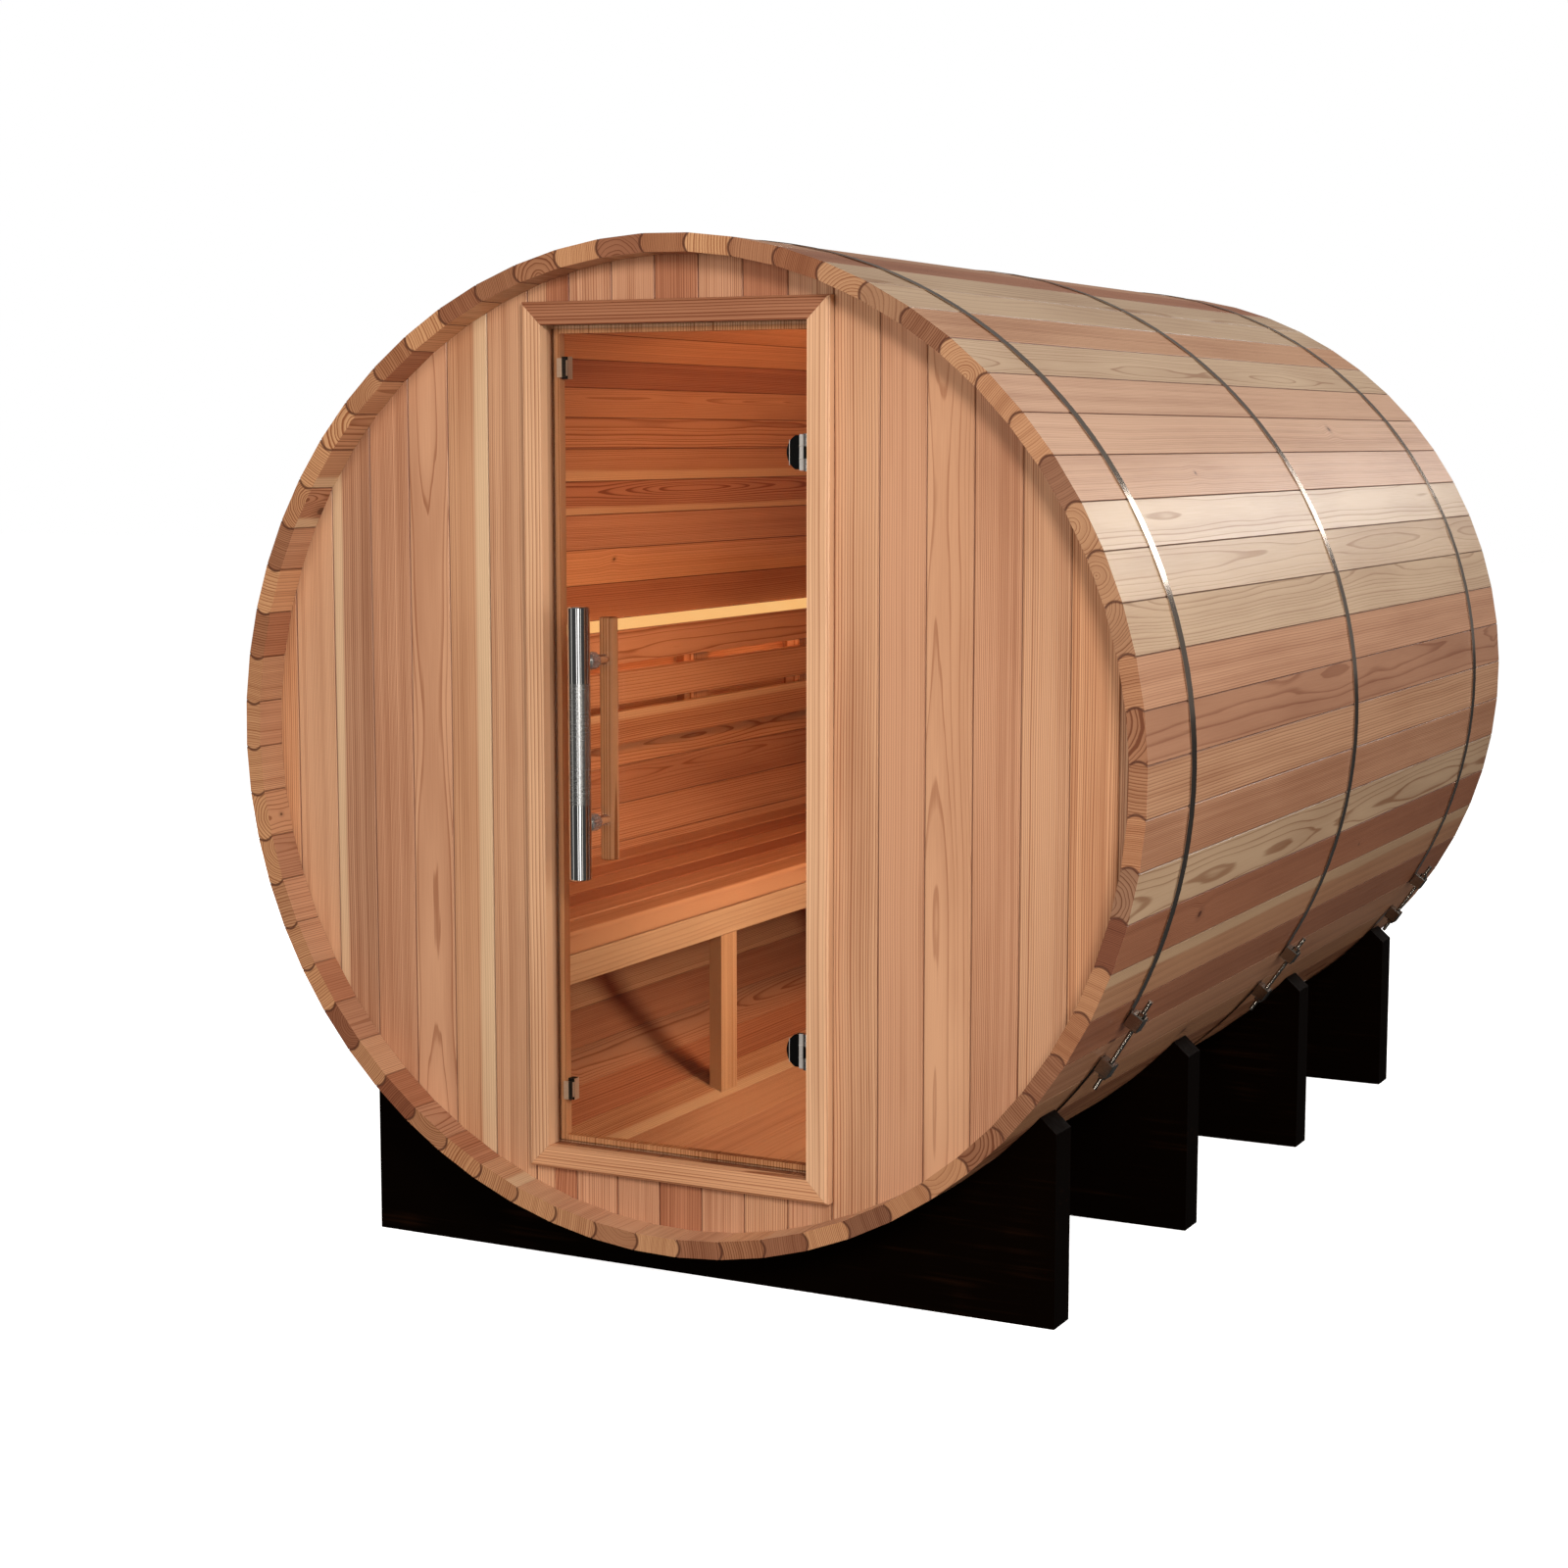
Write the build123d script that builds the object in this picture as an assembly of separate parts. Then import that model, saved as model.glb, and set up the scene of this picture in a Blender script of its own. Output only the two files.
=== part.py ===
from build123d import *
import math
import os

# Barrel sauna, in millimetres. The origin is on the ground under the middle of the barrel:
# +Y runs from the door to the rear, +X to the right of a person facing the door, +Z up.

# Barrel of bead-and-cove staves
barrel_length = 2440.0
barrel_radius = 900.0
ground_clearance = 71.0
stave_count = 64
staves_per_group = 8
stave_thickness = 32.0
stave_arris = 1.5
bead_rise = 7.0
first_joint_deg = 1.8
joint_gap = 0.4
fit_gap = 0.3
cut_overrun = 20.0

# End walls of tongue-and-groove boards, housed in a groove round the staves
wall_recess = 66.0
wall_thickness = 38.0
groove_depth = 9.0
groove_end_gap = 2.0
board_cover = 87.0
board_arris = 2.0
tongue_reach = 8.0
tongue_thickness = 9.0

# Doorway, casing and stops
doorway_width = 530.0
doorway_sill_margin = 127.0
doorway_head_margin = 117.0
casing_width = 41.0
casing_thickness = 22.0
casing_chamfer = 5.0
stop_depth = 14.0

# Glass door
glass_thickness = 8.0
glass_setback = 7.0
door_gap = 6.0
hinge_side_gap = 13.0
stop_clearance = 5.0

# Hinges and catches
hinge_inset = 11.0
hinge_height = 64.0
hinge_rise_shares = (0.150, 0.850)
knuckle_radius = 5.5
knuckle_gap = 0.5
pin_radius = 3.0
hinge_plate_width = 34.0
hinge_plate_height = 58.0
hinge_plate_thickness = 4.0
jamb_leaf_thickness = 2.5
jamb_leaf_width = 17.0
catch_rise_shares = (0.066, 0.950)
catch_height = 40.0
catch_width = 13.0
catch_depth = 16.0
roller_radius = 6.0
strike_width = 18.0
strike_height = 34.0
strike_thickness = 2.0

# Handles
handle_height = 980.0
handle_inset = 83.0
handle_radius = 20.0
handle_length = 490.0
handle_standoff = 52.0
handle_collar_gap = 218.0
handle_groove = 0.6
post_pitch = 292.0
post_radius = 9.0
flange_radius = 14.5
flange_thickness = 6.0
pull_radius = 16.5
pull_length = 442.0
pull_standoff = 44.0
peg_radius = 9.0
pull_arris = 2.0

# Cradles
cradle_width = 1400.0
cradle_thickness = 68.0
cradle_side_height = 343.0
cradle_shares = (0.0664, 0.347, 0.6445, 0.9188)

# Hoops and their turn-rod tensioners
hoop_width = 26.0
hoop_thickness = 1.5
hoop_front_gap = 14.0
hoop_rear_gap = 5.0
tensioner_degs = (-31.7, -35.2, -34.2)
block_pitch = 100.0
block_size = 28.0
block_arris = 1.5
rod_radius = 4.0
rod_length = 190.0
rod_height_share = 0.62
nut_width = 13.0
nut_height = 6.5

# Bench on the left of the door
seat_rise = 493.0
bench_depth = 551.0
seat_slats = 6
slat_cover = 78.0
slat_gap = 5.0
slat_thickness = 28.0
nose_thickness = 45.0
slat_round = 4.0
nose_round = 9.0
rail_height = 56.0
rail_thickness = 28.0
rail_setback = 3.0
rail_round = 2.0
leg_width = 68.0
leg_thickness = 28.0
leg_spread = 746.0
bearer_thickness = 38.0
bearer_height = 60.0
bearer_shares = (0.03, 0.264, 0.5, 0.736, 0.97)

# Backrest with a light strip behind its top slat
backrest_gap = 67.0
backrest_top = 120.0
backrest_slats = 3
backrest_slat_width = 75.0
backrest_slat_thickness = 20.0
backrest_pitch = 92.0
backrest_round = 3.0
backrest_end_gap = 25.0
batten_width = 74.0
batten_shares = (0.186, 0.437, 0.688, 0.939)
strip_width = 12.0
strip_depth = 8.0
strip_drop = 8.0
strip_round = 2.0

# Worked out from the sizes above
axis_height = ground_clearance + barrel_radius
half_length = barrel_length / 2
half_pitch = math.pi / stave_count
pitch_deg = 360 / stave_count
outer_apothem = barrel_radius * math.cos(half_pitch)
inner_apothem = outer_apothem - stave_thickness
inner_radius = inner_apothem / math.cos(half_pitch)
cabin_radius = inner_apothem - fit_gap
wall_radius = inner_apothem + groove_depth - groove_end_gap
wall_front = wall_recess - half_length
cabin_half = half_length - wall_recess - wall_thickness
cabin_length = 2 * cabin_half
cabin_floor = axis_height - inner_apothem
cabin_ceiling = axis_height + inner_apothem
doorway_half = doorway_width / 2
doorway_sill = cabin_floor + doorway_sill_margin
doorway_head = cabin_ceiling - doorway_head_margin
doorway_height = doorway_head - doorway_sill
glass_front = wall_front + glass_setback
glass_back = glass_front + glass_thickness
glass_left = door_gap - doorway_half
glass_right = doorway_half - hinge_side_gap
hinge_x = doorway_half - hinge_inset
hinge_y = wall_front
handle_x = handle_inset + glass_left
seat_top = cabin_floor + seat_rise
seat_back = -barrel_radius
seat_edge = inner_apothem - bench_depth
backrest_offset = inner_apothem - backrest_gap

barrel_axis = Pos(0, 0, axis_height)
group_names = ("right", "upper_right", "top", "upper_left", "left", "lower_left", "bottom", "lower_right")
cradle_names = ("front", "front_middle", "rear_middle", "rear")
hoop_names = ("front", "middle", "rear")
hinge_names = ("lower", "upper")


# Helpers

def along_length(share):
    return (share - 0.5) * barrel_length


def along_cabin(share):
    return (share - 0.5) * cabin_length


def box_between(low, high):
    size = [top - bottom for bottom, top in zip(low, high)]
    middle = [(top + bottom) / 2 for bottom, top in zip(low, high)]
    return Pos(*middle) * Box(*size)


def plate(profile, front, back):
    # A flat outline drawn in X and Z, as thick as front to back along Y.
    return extrude(Pos(0, back, 0) * (Plane.XZ * profile), amount=back - front)


def rod_along(axis, start, end, radius):
    turn = {"x": Rot(0, 90, 0), "y": Rot(-90, 0, 0), "z": Rot(0, 0, 0)}[axis]
    shaft = Cylinder(radius, end - start, align=(Align.CENTER, Align.CENTER, Align.MIN))
    place = {"x": Pos(start, 0, 0), "y": Pos(0, start, 0), "z": Pos(0, 0, start)}[axis]
    return place * turn * shaft


def in_cabin(piece):
    # Trims a piece to the round inside of the barrel.
    room = barrel_axis * rod_along("y", -cabin_half, cabin_half, cabin_radius)
    return piece & room


def save(name, solids):
    solids = [solid for shape in solids for solid in shape.solids()]
    whole = solids[0] if len(solids) == 1 else Compound(solids)
    export_step(whole, f"parts/{name}.step")


# Barrel

def joint_line(side, shift):
    # Outer end, middle and inner end of a stave's edge, seen from the front. The bead rises to the
    # left of the edge at the top of the barrel, and shift moves the whole line that way.
    lean = side * half_pitch
    outward = Vector(math.sin(lean), math.cos(lean))
    across = Vector(-math.cos(lean), math.sin(lean))
    middle = (barrel_radius + inner_radius) / 2
    outer_end = outward * (barrel_radius - stave_arris) + across * shift
    inner_end = outward * (inner_radius + stave_arris) + across * shift
    crown = outward * middle + across * (bead_rise + shift)
    return outer_end, crown, inner_end


def stave():
    clear = joint_gap / 2
    bead_out, bead_crown, bead_in = joint_line(-1, -clear)
    cove_out, cove_crown, cove_in = joint_line(1, clear)
    outer_half = outer_apothem * math.tan(half_pitch) - stave_arris
    inner_half = inner_apothem * math.tan(half_pitch) - stave_arris
    outer_left = Vector(-outer_half, outer_apothem)
    outer_right = Vector(outer_half, outer_apothem)
    inner_left = Vector(-inner_half, inner_apothem)
    inner_right = Vector(inner_half, inner_apothem)
    outline = Curve() + [
        Line(outer_right, outer_left),
        Line(outer_left, bead_out),
        ThreePointArc(bead_out, bead_crown, bead_in),
        Line(bead_in, inner_left),
        Line(inner_left, inner_right),
        Line(inner_right, cove_in),
        ThreePointArc(cove_in, cove_crown, cove_out),
        Line(cove_out, outer_right),
    ]
    board = plate(make_face(outline), -half_length, half_length)
    reach = outer_half + bead_rise + cut_overrun
    for start in (wall_front, cabin_half):
        board -= box_between(
            (-reach, start - fit_gap, inner_apothem - cut_overrun),
            (reach, start + wall_thickness + fit_gap, inner_apothem + groove_depth),
        )
    return board


def stave_groups():
    pattern = stave()
    for number, name in enumerate(group_names):
        first = number * staves_per_group - staves_per_group // 2
        angles = [
            first_joint_deg + pitch_deg * (first + step + 0.5) for step in range(staves_per_group)
        ]
        save(f"staves_{name}", [barrel_axis * Rot(0, 90 - angle, 0) * pattern for angle in angles])


# End walls

def wall_board():
    # Plan of one board, front face towards -Y, tongue to the right and groove to the left.
    half = board_cover / 2
    clear = joint_gap / 2
    side = half - clear
    face = side - board_arris
    depth = wall_thickness / 2
    shoulder = depth - board_arris
    tongue = tongue_thickness / 2
    slot = tongue + clear
    points = [
        (-face, -depth), (face, -depth), (side, -shoulder), (side, -tongue),
        (side + tongue_reach, -tongue), (side + tongue_reach, tongue), (side, tongue),
        (side, shoulder), (face, depth), (-face, depth), (-side, shoulder), (-side, slot),
        (tongue_reach - side + joint_gap, slot), (tongue_reach - side + joint_gap, -slot),
        (-side, -slot), (-side, -shoulder),
    ]
    plan = make_face(Polyline(*points, close=True))
    return extrude(plan, amount=barrel_radius, both=True)


def wall_boards(left, right, low, high, front):
    # The boards of a wall between two heights and two sides, trimmed to the round of the barrel.
    middle = front + wall_thickness / 2
    disc = barrel_axis * rod_along("y", front, front + wall_thickness, wall_radius)
    field = disc & box_between((left, front, low), (right, front + wall_thickness, high))
    pattern = wall_board()
    count = math.ceil(wall_radius / board_cover)
    boards = []
    for number in range(-count, count + 1):
        board = Pos(number * board_cover, middle, axis_height) * pattern & field
        boards += board.solids() if board else []
    return boards


def end_walls():
    top = axis_height + barrel_radius
    save("front_wall_left", wall_boards(-barrel_radius, -doorway_half, 0, top, wall_front))
    save("front_wall_right", wall_boards(doorway_half, barrel_radius, 0, top, wall_front))
    inner = doorway_half - fit_gap
    save("front_wall_over_door", wall_boards(-inner, inner, doorway_head, top, wall_front))
    save("front_wall_under_door", wall_boards(-inner, inner, 0, doorway_sill, wall_front))
    save("rear_wall", wall_boards(-barrel_radius, barrel_radius, 0, top, cabin_half))


# Doorway

def casing_member(inner, outer, side_axis, side_value):
    # A flat mitred strip between its inner and outer edge, bevelled along its outer front edge.
    strip = plate(make_face(Polyline(*inner, *outer, close=True)), wall_front - casing_thickness, wall_front)
    front = wall_front - casing_thickness
    edges = [
        edge for edge in strip.edges()
        if abs(edge.center().Y - front) < fit_gap
        and abs(getattr(edge.center(), side_axis) - side_value) < fit_gap
    ]
    return chamfer(edges, casing_chamfer)


def casing():
    inner, outer = doorway_half, doorway_half + casing_width
    low, high = doorway_sill, doorway_head
    base, top = low - casing_width, high + casing_width
    mitre = fit_gap / 2
    for name, sign in (("left", -1), ("right", 1)):
        member = casing_member(
            [(sign * inner, low + mitre), (sign * inner, high - mitre)],
            [(sign * outer, top - mitre), (sign * outer, base + mitre)],
            "X", sign * outer,
        )
        save(f"door_casing_{name}", [member])
    reach, span = inner - mitre, outer - mitre
    head = casing_member([(-reach, high), (reach, high)], [(span, top), (-span, top)], "Z", top)
    sill = casing_member([(-reach, low), (reach, low)], [(span, base), (-span, base)], "Z", base)
    save("door_casing_head", [head])
    save("door_casing_sill", [sill])


def door_stops():
    front = glass_back + stop_clearance
    back = wall_front + wall_thickness
    inner = doorway_half - stop_depth
    low, high = doorway_sill, doorway_head
    strips = [
        box_between((-doorway_half, front, low), (-inner, back, high)),
        box_between((inner, front, low), (doorway_half, back, high)),
        box_between((fit_gap - inner, front, high - stop_depth), (inner - fit_gap, back, high)),
        box_between((fit_gap - inner, front, low), (inner - fit_gap, back, low + stop_depth)),
    ]
    save("door_stops", strips)


# Door

def door_glass():
    low = (glass_left, glass_front, doorway_sill + door_gap)
    high = (glass_right, glass_back, doorway_head - door_gap)
    save("door_glass", [box_between(low, high)])


def hinge_plate(front, back):
    # D-shaped plate, round towards the middle of the glass.
    right = hinge_x - knuckle_radius - knuckle_gap
    left = right - hinge_plate_width
    half = hinge_plate_height / 2
    straight = left + hinge_plate_width / 2
    outline = Curve() + [
        Line((right, -half), (right, half)),
        Line((right, half), (straight, half)),
        ThreePointArc((straight, half), (left, 0), (straight, -half)),
        Line((straight, -half), (right, -half)),
    ]
    return plate(make_face(outline), front, back)


def hinges():
    third = hinge_height / 3
    axis = Pos(hinge_x, hinge_y, 0)
    for name, share in zip(hinge_names, hinge_rise_shares):
        place = Pos(0, 0, doorway_sill + share * doorway_height)
        outer_plate = hinge_plate(glass_front - hinge_plate_thickness, glass_front)
        inner_plate = hinge_plate(glass_back, glass_back + hinge_plate_thickness)
        arm_half = third / 2 - knuckle_gap
        arm = box_between(
            (hinge_x - knuckle_radius - knuckle_gap - fit_gap, glass_front - hinge_plate_thickness, -arm_half),
            (hinge_x, glass_front - knuckle_gap, arm_half),
        )
        knuckle = axis * rod_along("z", -arm_half, arm_half, knuckle_radius)
        bore = axis * rod_along("z", -third, third, pin_radius + fit_gap)
        door_leaf = outer_plate + arm + knuckle - bore
        save(f"hinge_{name}_door_leaf", [place * door_leaf, place * inner_plate])
        jamb = box_between(
            (doorway_half - jamb_leaf_thickness, hinge_y - jamb_leaf_width / 2, -hinge_height / 2),
            (doorway_half, hinge_y + jamb_leaf_width / 2, hinge_height / 2),
        )
        tab = box_between(
            (hinge_x, hinge_y - pin_radius, -hinge_height / 2),
            (doorway_half, hinge_y + pin_radius, hinge_height / 2),
        )
        barrel = axis * rod_along("z", -hinge_height / 2, hinge_height / 2, knuckle_radius)
        clearing = axis * rod_along("z", -third / 2, third / 2, knuckle_radius + hinge_inset)
        clearing &= box_between(
            (0, hinge_y - barrel_radius, -third / 2),
            (doorway_half - jamb_leaf_thickness, hinge_y + barrel_radius, third / 2),
        )
        pin = axis * rod_along("z", -hinge_height / 2, hinge_height / 2, pin_radius)
        frame_leaf = jamb + (barrel + tab - clearing) + pin
        save(f"hinge_{name}_jamb_leaf", [place * frame_leaf])


def catches():
    left = stop_depth - doorway_half
    front = glass_back + strike_thickness + stop_clearance
    bodies, strikes = [], []
    for share in catch_rise_shares:
        height = doorway_sill + share * doorway_height
        case = box_between(
            (left, front + roller_radius, height - catch_height / 2),
            (left + catch_width, front + roller_radius + catch_depth, height + catch_height / 2),
        )
        middle = left + catch_width / 2
        roller_half = catch_height / 2 - roller_radius
        roller = Pos(middle, front + roller_radius, height) * rod_along(
            "z", -roller_half, roller_half, roller_radius
        )
        bodies.append(case + roller)
        strikes.append(box_between(
            (middle - strike_width / 2, glass_back, height - strike_height / 2),
            (middle + strike_width / 2, glass_back + strike_thickness, height + strike_height / 2),
        ))
    save("door_catches", bodies)
    save("door_strikes", strikes)


def handle_bar():
    # Polished ends and a brushed middle, parted by fine turned grooves.
    half = handle_length / 2
    bar = rod_along("z", -half, half, handle_radius)
    bar = chamfer(bar.edges().filter_by(GeomType.CIRCLE), pull_arris)
    ring = rod_along("z", -handle_groove, handle_groove, handle_radius + cut_overrun)
    ring -= rod_along("z", -handle_groove, handle_groove, handle_radius - handle_groove)
    for sign in (-1, 1):
        bar -= Pos(0, 0, sign * handle_collar_gap / 2) * ring
    return Pos(handle_x, glass_front - handle_standoff, handle_height) * bar


def handle_posts():
    axis_y = glass_front - handle_standoff
    clear = Pos(handle_x, axis_y, handle_height) * rod_along(
        "z", -handle_length, handle_length, handle_radius + fit_gap
    )
    posts = []
    for sign in (-1, 1):
        place = Pos(handle_x, 0, handle_height + sign * post_pitch / 2)
        post = rod_along("y", axis_y, glass_front, post_radius)
        flange = rod_along("y", glass_front - flange_thickness, glass_front, flange_radius)
        posts.append(place * (post + flange) - clear)
    return posts


def door_pull():
    # Round wooden pull inside the glass, on two pegs.
    axis_y = glass_back + pull_standoff
    half = pull_length / 2
    pull = rod_along("z", -half, half, pull_radius)
    pull = Pos(handle_x, axis_y, handle_height) * chamfer(pull.edges().filter_by(GeomType.CIRCLE), pull_arris)
    for sign in (-1, 1):
        place = Pos(handle_x, 0, handle_height + sign * post_pitch / 2)
        pull += place * rod_along("y", glass_back, axis_y, peg_radius)
    return pull


# Base

def cradles():
    half = cradle_width / 2
    saddle = barrel_radius + fit_gap
    side_drop = axis_height - cradle_side_height
    corner = math.atan2(half, side_drop)
    tip_x, tip_z = saddle * math.sin(corner), axis_height - saddle * math.cos(corner)
    outline = Curve() + [
        Line((-half, 0), (half, 0)),
        Line((half, 0), (half, cradle_side_height)),
        Line((half, cradle_side_height), (tip_x, tip_z)),
        ThreePointArc((tip_x, tip_z), (0, axis_height - saddle), (-tip_x, tip_z)),
        Line((-tip_x, tip_z), (-half, cradle_side_height)),
        Line((-half, cradle_side_height), (-half, 0)),
    ]
    block = plate(make_face(outline), -cradle_thickness / 2, cradle_thickness / 2)
    for name, share in zip(cradle_names, cradle_shares):
        save(f"cradle_{name}", [Pos(0, along_length(share), 0) * block])


# Hoops

def hoop_band(middle_deg):
    inner = barrel_radius + fit_gap
    outer = inner + hoop_thickness
    half_gap = math.degrees(math.asin((block_pitch - block_size) / 2 / outer))
    ring = Circle(outer) - Circle(inner)
    reach = outer + cut_overrun
    slot = reach * math.tan(math.radians(half_gap))
    wedge = make_face(Polyline((0, 0), (reach, slot), (reach, -slot), close=True))
    ring -= Rot(0, 0, middle_deg) * wedge
    return plate(ring, -hoop_width / 2, hoop_width / 2)


def tensioner():
    # Built over the right-hand side of the barrel, with the rod standing upright.
    outer = barrel_radius + fit_gap + hoop_thickness
    inner_edge = (block_pitch - block_size) / 2
    seat = math.sqrt(outer ** 2 - inner_edge ** 2) + fit_gap
    rod_x = seat + rod_height_share * block_size
    bore = Pos(rod_x, 0, 0) * rod_along("z", -rod_length, rod_length, rod_radius + fit_gap)
    pieces = [Pos(rod_x, 0, 0) * rod_along("z", -rod_length / 2, rod_length / 2, rod_radius)]
    for sign in (-1, 1):
        block = Pos(seat + block_size / 2, 0, sign * block_pitch / 2) * Box(block_size, hoop_width, block_size)
        pieces.append(chamfer(block.edges(), block_arris) - bore)
        face = block_pitch / 2 + block_size / 2 + fit_gap
        nut = extrude(RegularPolygon(nut_width / 2, 6, major_radius=False), amount=nut_height)
        low = face if sign > 0 else -face - nut_height
        pieces.append(Pos(rod_x, 0, low) * nut - bore)
    return pieces


def hoop_places():
    # The end hoops sit just inside the end cradles, and the middle one midway between the other two.
    front, front_middle, rear_middle, rear = (along_length(share) for share in cradle_shares)
    reach = (cradle_thickness + hoop_width) / 2
    return front + reach + hoop_front_gap, (front_middle + rear_middle) / 2, rear - reach - hoop_rear_gap


def hoops():
    for name, y, angle in zip(hoop_names, hoop_places(), tensioner_degs):
        place = Pos(0, y, axis_height)
        save(f"hoop_{name}", [place * hoop_band(angle)])
        save(f"tensioner_{name}", [place * Rot(0, -angle, 0) * piece for piece in tensioner()])


# Bench

def rounded(piece, radius):
    # Rounds the long edges of a board that runs along the barrel.
    return fillet(piece.edges().filter_by(Axis.Y), radius)


def bench_seat():
    end = cabin_half - fit_gap
    slats = []
    for number in range(seat_slats):
        front = -seat_edge - number * slat_cover
        thickness = nose_thickness if number == 0 else slat_thickness
        edge_round = nose_round if number == 0 else slat_round
        board = box_between(
            (front - slat_cover + slat_gap, -end, seat_top - thickness), (front, end, seat_top)
        )
        slats.append(in_cabin(rounded(board, edge_round)))
    return slats


def bench_rail():
    end = cabin_half - fit_gap
    front = -seat_edge - rail_setback
    top = seat_top - nose_thickness
    rail = box_between((front - rail_thickness, -end, top - rail_height), (front, end, top))
    return rounded(rail, rail_round)


def bench_legs():
    front = -seat_edge - rail_setback
    top = seat_top - nose_thickness - rail_height
    legs = []
    for sign in (-1, 1):
        middle = sign * leg_spread / 2
        leg = box_between(
            (front - leg_thickness, middle - leg_width / 2, 0), (front, middle + leg_width / 2, top)
        )
        legs.append(in_cabin(leg))
    return legs


def bench_bearers():
    front = -seat_edge - slat_cover
    top = seat_top - slat_thickness
    bearers = []
    for share in bearer_shares:
        middle = along_cabin(share)
        bearer = box_between(
            (seat_back, middle - bearer_thickness / 2, top - bearer_height),
            (front, middle + bearer_thickness / 2, top),
        )
        bearers.append(in_cabin(bearer))
    return bearers


# Backrest

def backrest():
    end = cabin_half - backrest_end_gap
    top = axis_height + backrest_top
    back = -backrest_offset - backrest_slat_thickness
    slats = []
    for number in range(backrest_slats):
        high = top - number * backrest_pitch
        board = box_between((back, -end, high - backrest_slat_width), (-backrest_offset, end, high))
        slats.append(rounded(board, backrest_round))
    low = top - (backrest_slats - 1) * backrest_pitch - backrest_slat_width
    batten_top = top - strip_drop - strip_width - fit_gap
    battens = []
    for share in batten_shares:
        middle = along_cabin(share)
        batten = box_between(
            (seat_back, middle - batten_width / 2, low), (back, middle + batten_width / 2, batten_top)
        )
        battens.append(in_cabin(batten))
    strip = box_between(
        (back - strip_depth, -end, top - strip_drop - strip_width), (back, end, top - strip_drop)
    )
    save("backrest_slats", slats)
    save("backrest_battens", battens)
    save("light_strip", [rounded(strip, strip_round)])


def main():
    os.makedirs("parts", exist_ok=True)
    stave_groups()
    end_walls()
    casing()
    door_stops()
    door_glass()
    hinges()
    catches()
    save("door_handle_bar", [handle_bar()])
    save("door_handle_posts", handle_posts())
    save("door_pull", [door_pull()])
    cradles()
    hoops()
    save("bench_seat_slats", bench_seat())
    save("bench_front_rail", [bench_rail()])
    save("bench_legs", bench_legs())
    save("bench_bearers", bench_bearers())
    backrest()


main()
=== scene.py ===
import math
import random

import bmesh
import bpy
from mathutils import Matrix, Vector


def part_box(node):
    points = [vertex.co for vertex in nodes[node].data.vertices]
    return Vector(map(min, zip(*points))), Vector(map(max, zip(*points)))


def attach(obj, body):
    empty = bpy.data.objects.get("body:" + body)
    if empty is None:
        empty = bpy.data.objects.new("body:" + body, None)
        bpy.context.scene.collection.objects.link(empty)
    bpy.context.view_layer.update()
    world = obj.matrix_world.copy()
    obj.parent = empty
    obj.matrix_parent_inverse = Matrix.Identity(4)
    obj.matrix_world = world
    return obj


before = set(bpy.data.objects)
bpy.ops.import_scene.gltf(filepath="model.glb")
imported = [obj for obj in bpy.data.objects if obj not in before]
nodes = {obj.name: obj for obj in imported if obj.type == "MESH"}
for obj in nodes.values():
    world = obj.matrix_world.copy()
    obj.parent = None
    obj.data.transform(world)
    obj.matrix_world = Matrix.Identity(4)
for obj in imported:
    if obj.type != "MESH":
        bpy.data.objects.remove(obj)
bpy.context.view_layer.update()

print("frame loaded:", len(nodes), "pieces")

barrel = {
    "staves": 64,
    "firstJoint": math.radians(1.8),
    "staveThickness": 0.032,
    "beadRise": 0.007,
    "boardWidth": 0.087,
    # counted round from the right
    "groups": (
        "right", "upper_right", "top", "upper_left", "left", "lower_left", "bottom", "lower_right",
    ),
    "perGroup": 8,
}
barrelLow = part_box("staves_bottom")[0]
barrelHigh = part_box("staves_top")[1]
axisHeight = (barrelLow.z + barrelHigh.z) / 2
barrelRadius = (barrelHigh.z - barrelLow.z) / 2
frontEnd, rearEnd = barrelLow.y, barrelHigh.y
stavePitch = 2 * math.pi / barrel["staves"]
staveWidth = stavePitch * barrelRadius


def screen(red, green, blue):
    # a colour as a screen shows it, 0 to 255, in the shader's own numbers
    parts = [part / 255 for part in (red, green, blue)]
    bright = [p / 12.92 if p <= 0.04045 else ((p + 0.055) / 1.055) ** 2.4 for p in parts]
    return (*bright, 1.0)


# shader sums

class Wire:
    # one socket; sums written with it become Math nodes
    def __init__(self, finish, socket):
        self.finish = finish
        self.socket = socket

    def sum(self, operation, *values):
        return self.finish.add("Math", {"operation": operation}, dict(enumerate(values)))

    def other(self, output):
        return Wire(self.finish, self.socket.node.outputs[output])

    def __add__(self, value):
        return self.sum("ADD", self, value)

    def __radd__(self, value):
        return self.sum("ADD", value, self)

    def __sub__(self, value):
        return self.sum("SUBTRACT", self, value)

    def __rsub__(self, value):
        return self.sum("SUBTRACT", value, self)

    def __mul__(self, value):
        return self.sum("MULTIPLY", self, value)

    def __rmul__(self, value):
        return self.sum("MULTIPLY", value, self)

    def __truediv__(self, value):
        return self.sum("DIVIDE", self, value)

    def __rtruediv__(self, value):
        return self.sum("DIVIDE", value, self)

    def __pow__(self, value):
        return self.sum("POWER", self, value)

    def __mod__(self, value):
        return self.sum("FLOORED_MODULO", self, value)

    def __abs__(self):
        return self.sum("ABSOLUTE", self)

    def __gt__(self, value):
        return self.sum("GREATER_THAN", self, value)

    def __lt__(self, value):
        return self.sum("LESS_THAN", self, value)

    def floor(self):
        return self.sum("FLOOR", self)

    def fraction(self):
        return self.sum("FRACT", self)

    def atLeast(self, value):
        return self.sum("MAXIMUM", self, value)

    def atMost(self, value):
        return self.sum("MINIMUM", self, value)

    def ease(self, low, high):
        # 0 below low, 1 above high, with a soft step between
        span = {"Value": self, "From Min": low, "From Max": high}
        return self.finish.add("MapRange", {"interpolation_type": "SMOOTHSTEP"}, span)


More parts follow.
